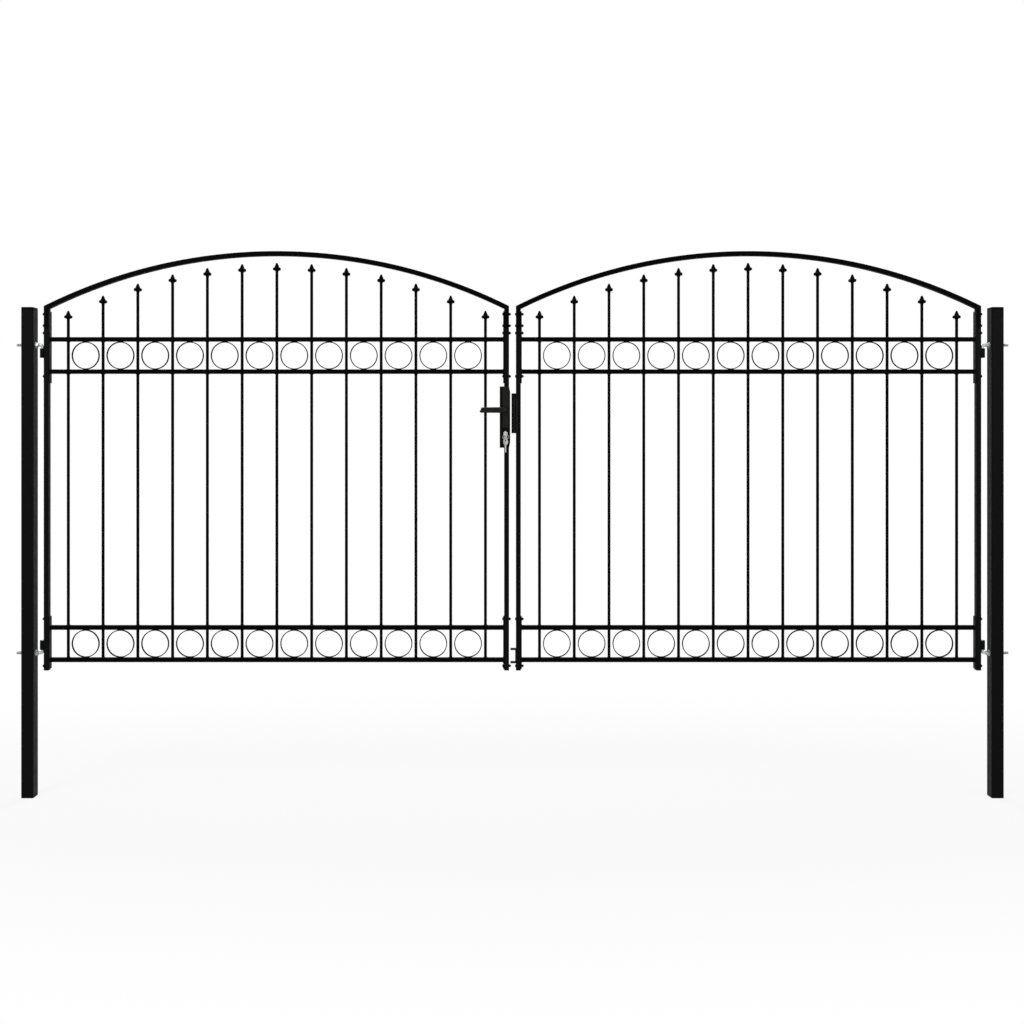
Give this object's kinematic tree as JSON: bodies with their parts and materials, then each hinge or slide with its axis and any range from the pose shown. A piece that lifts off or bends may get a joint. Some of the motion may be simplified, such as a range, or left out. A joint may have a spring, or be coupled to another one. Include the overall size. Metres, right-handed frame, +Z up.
{
  "type": "double driveway gate",
  "caption": "Black steel double driveway gate on square posts: arched tops, ring friezes, spear-topped pickets, hook hinges and a lever lock",
  "frame": {"origin": "centre of the left post's foot face", "axes": "+X along the gate towards the right post, +Y away from the key side, +Z up"},
  "size_m": [4.054, 0.123, 2.2288],
  "materials": {
    "black_paint": "satin powder coat",
    "black_plastic": "matte",
    "handle_black": "satin lacquer",
    "zinc": "zinc plated",
    "nickel": "nickel plated"
  },
  "bodies": {
    "root": {"left_post": "black_paint", "right_post": "black_paint", "left_post_cap": "black_plastic", "right_post_cap": "black_plastic", "left_hinge_hooks": "zinc", "right_hinge_hooks": "zinc", "left_hinge_nuts": "zinc", "right_hinge_nuts": "zinc"},
    "left_leaf": {"left_hinge_stile": "black_paint", "left_meeting_stile": "black_paint", "left_top_bow": "black_paint", "left_end_plates": "black_paint", "left_rails": "black_paint", "left_pickets": "black_paint", "left_finials": "black_paint", "left_upper_rings": "black_paint", "left_lower_rings": "black_paint", "left_knuckles": "black_paint", "left_frame_bolts": "black_paint", "left_stile_plugs": "black_plastic", "lock_box": "black_paint", "lock_faceplate": "black_paint", "front_handle_plate": "handle_black", "rear_handle_plate": "handle_black", "lock_cylinder": "nickel", "keys": "nickel"},
    "lever": {"front_lever": "handle_black", "rear_lever": "handle_black", "lever_spindle": "zinc"},
    "right_leaf": {"right_hinge_stile": "black_paint", "right_meeting_stile": "black_paint", "right_top_bow": "black_paint", "right_end_plates": "black_paint", "right_rails": "black_paint", "right_pickets": "black_paint", "right_finials": "black_paint", "right_upper_rings": "black_paint", "right_lower_rings": "black_paint", "right_knuckles": "black_paint", "right_frame_bolts": "black_paint", "right_stile_plugs": "black_plastic", "latch_keeper": "black_paint", "drop_rod_bracket": "black_paint"}
  },
  "joints": [
    {"name": "left_leaf_hinge", "type": "hinge", "parent": "root", "child": "left_leaf", "pos_m": [0.054, 0, 0.6195], "axis": [0, 0, 1], "range_deg": [0, 90]},
    {"name": "right_leaf_hinge", "type": "hinge", "parent": "root", "child": "right_leaf", "pos_m": [3.896, 0, 0.6195], "axis": [0, 0, -1], "range_deg": [0, 90]},
    {"name": "lever_turn", "type": "hinge", "parent": "left_leaf", "child": "lever", "pos_m": [1.947, 0, 1.58], "axis": [0, -1, 0], "range_deg": [0, 45], "stiffness_Nm_per_rad": 2, "springref_deg": -22.92}
  ]
}
